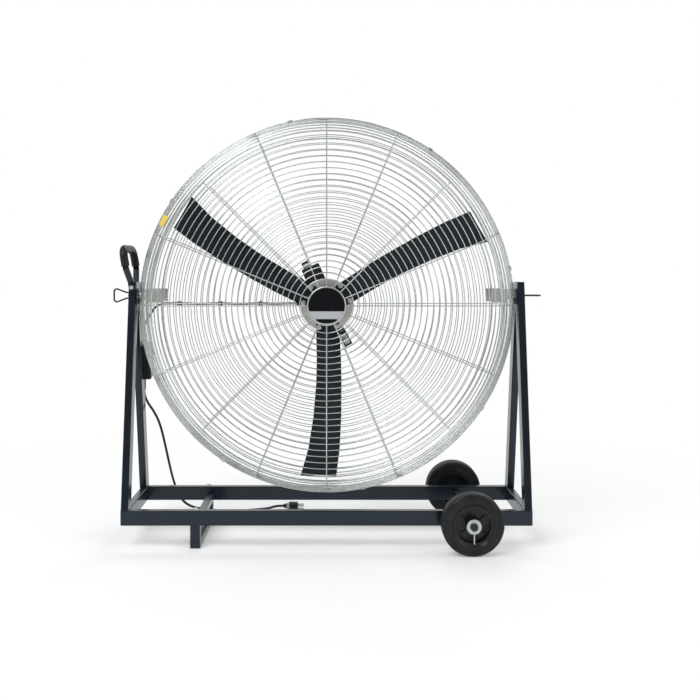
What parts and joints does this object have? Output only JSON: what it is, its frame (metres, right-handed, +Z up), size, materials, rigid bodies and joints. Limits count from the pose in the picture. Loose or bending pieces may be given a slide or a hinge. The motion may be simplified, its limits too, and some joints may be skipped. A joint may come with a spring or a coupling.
{
  "type": "drum fan",
  "caption": "Large wire drum fan with a three-bladed rotor, tilting on a tubular steel stand with wheels, a foot and a carrying handle.",
  "frame": {"origin": "On the floor, midway between the two tilt knobs and midway between the two ends of the wheel axle.", "axes": "+Z up, +X to the wheels, -Y the side that the fan blows to and that carries the badge."},
  "size_m": [1.1384, 0.4629, 1.1123],
  "materials": {
    "frame_paint": "satin black powder coat",
    "black_plastic": "matte black",
    "zinc_steel": "zinc plated",
    "black_rubber": "matte black",
    "cord_sheath": "matte black",
    "guard_wire": "zinc plated wire",
    "badge_face": "gloss black",
    "motor_paint": "semi-gloss black",
    "yellow_tag": "plain yellow",
    "blade_paint": "semi-gloss black",
    "tyre": "matte black",
    "knob_plastic": "semi-gloss black"
  },
  "bodies": {
    "frame": {"base_front_tube": "frame_paint", "base_rear_tube": "frame_paint", "base_side_tubes": "frame_paint", "tube_plugs": "black_plastic", "leg_front_left": "frame_paint", "leg_rear_left": "frame_paint", "leg_front_right": "frame_paint", "leg_rear_right": "frame_paint", "cross_member": "frame_paint", "foot": "frame_paint", "foot_bolts": "zinc_steel", "pivot_plates": "frame_paint", "handle_straps": "frame_paint", "handle_grip": "black_rubber", "handle_bolts": "zinc_steel", "axle": "frame_paint", "axle_spacers": "zinc_steel", "axle_washers": "zinc_steel", "split_pins": "zinc_steel", "switch_box": "black_plastic", "switch_cover": "black_plastic", "cover_screws": "zinc_steel", "switch_body": "black_plastic", "cable_glands": "black_plastic", "motor_lead_loop": "cord_sheath", "power_cord": "cord_sheath", "plug": "black_plastic"},
    "head": {"front_guard": "guard_wire", "front_guard_side": "guard_wire", "rear_guard": "guard_wire", "rear_guard_side": "guard_wire", "guard_clips": "zinc_steel", "badge_bezel": "zinc_steel", "badge_face": "badge_face", "pivot_brackets": "zinc_steel", "pivot_studs": "zinc_steel", "motor_body": "motor_paint", "motor_shields": "motor_paint", "terminal_box": "black_plastic", "motor_mount": "motor_paint", "mount_bolts": "zinc_steel", "clamp_plates": "zinc_steel", "motor_gland": "black_plastic", "motor_lead": "cord_sheath", "lead_clips": "black_plastic", "hang_tag": "yellow_tag"},
    "rotor": {"motor_shaft": "zinc_steel", "blade_hub": "zinc_steel", "blade_1": "blade_paint", "blade_2": "blade_paint", "blade_3": "blade_paint", "blade_bolts": "zinc_steel"},
    "wheel_front": {"wheel_rim_front": "black_plastic", "wheel_tyre_front": "tyre"},
    "wheel_rear": {"wheel_rim_rear": "black_plastic", "wheel_tyre_rear": "tyre"},
    "knob_left": {"tilt_knob_left": "frame_paint"},
    "knob_right": {"tilt_knob_right": "frame_paint"},
    "switch_dial": {"switch_knob": "knob_plastic"}
  },
  "joints": [
    {"name": "head_tilt", "type": "hinge", "parent": "frame", "child": "head", "pos_m": [0, -0.012, 0.638], "axis": [1, 0, 0], "range_deg": [-90, 10], "deforming": ["motor_lead_loop"]},
    {"name": "rotor_spin", "type": "hinge", "parent": "head", "child": "rotor", "pos_m": [0, -0.012, 0.613], "axis": [0, 1, 0], "continuous": true},
    {"name": "wheel_front_spin", "type": "hinge", "parent": "frame", "child": "wheel_front", "pos_m": [0.362, -0.183, 0.0775], "axis": [0, 1, 0], "continuous": true},
    {"name": "wheel_rear_spin", "type": "hinge", "parent": "frame", "child": "wheel_rear", "pos_m": [0.362, 0.183, 0.0775], "axis": [0, 1, 0], "continuous": true},
    {"name": "knob_left_turn", "type": "hinge", "parent": "head", "child": "knob_left", "pos_m": [-0.53, -0.012, 0.638], "axis": [-1, 0, 0], "range_deg": [0, 360]},
    {"name": "knob_right_turn", "type": "hinge", "parent": "head", "child": "knob_right", "pos_m": [0.53, -0.012, 0.638], "axis": [1, 0, 0], "range_deg": [0, 360]},
    {"name": "switch_turn", "type": "hinge", "parent": "frame", "child": "switch_dial", "pos_m": [-0.5105, 0.10752, 0.45925], "axis": [0, 0.9796, 0.201], "range_deg": [-270, 0]}
  ]
}
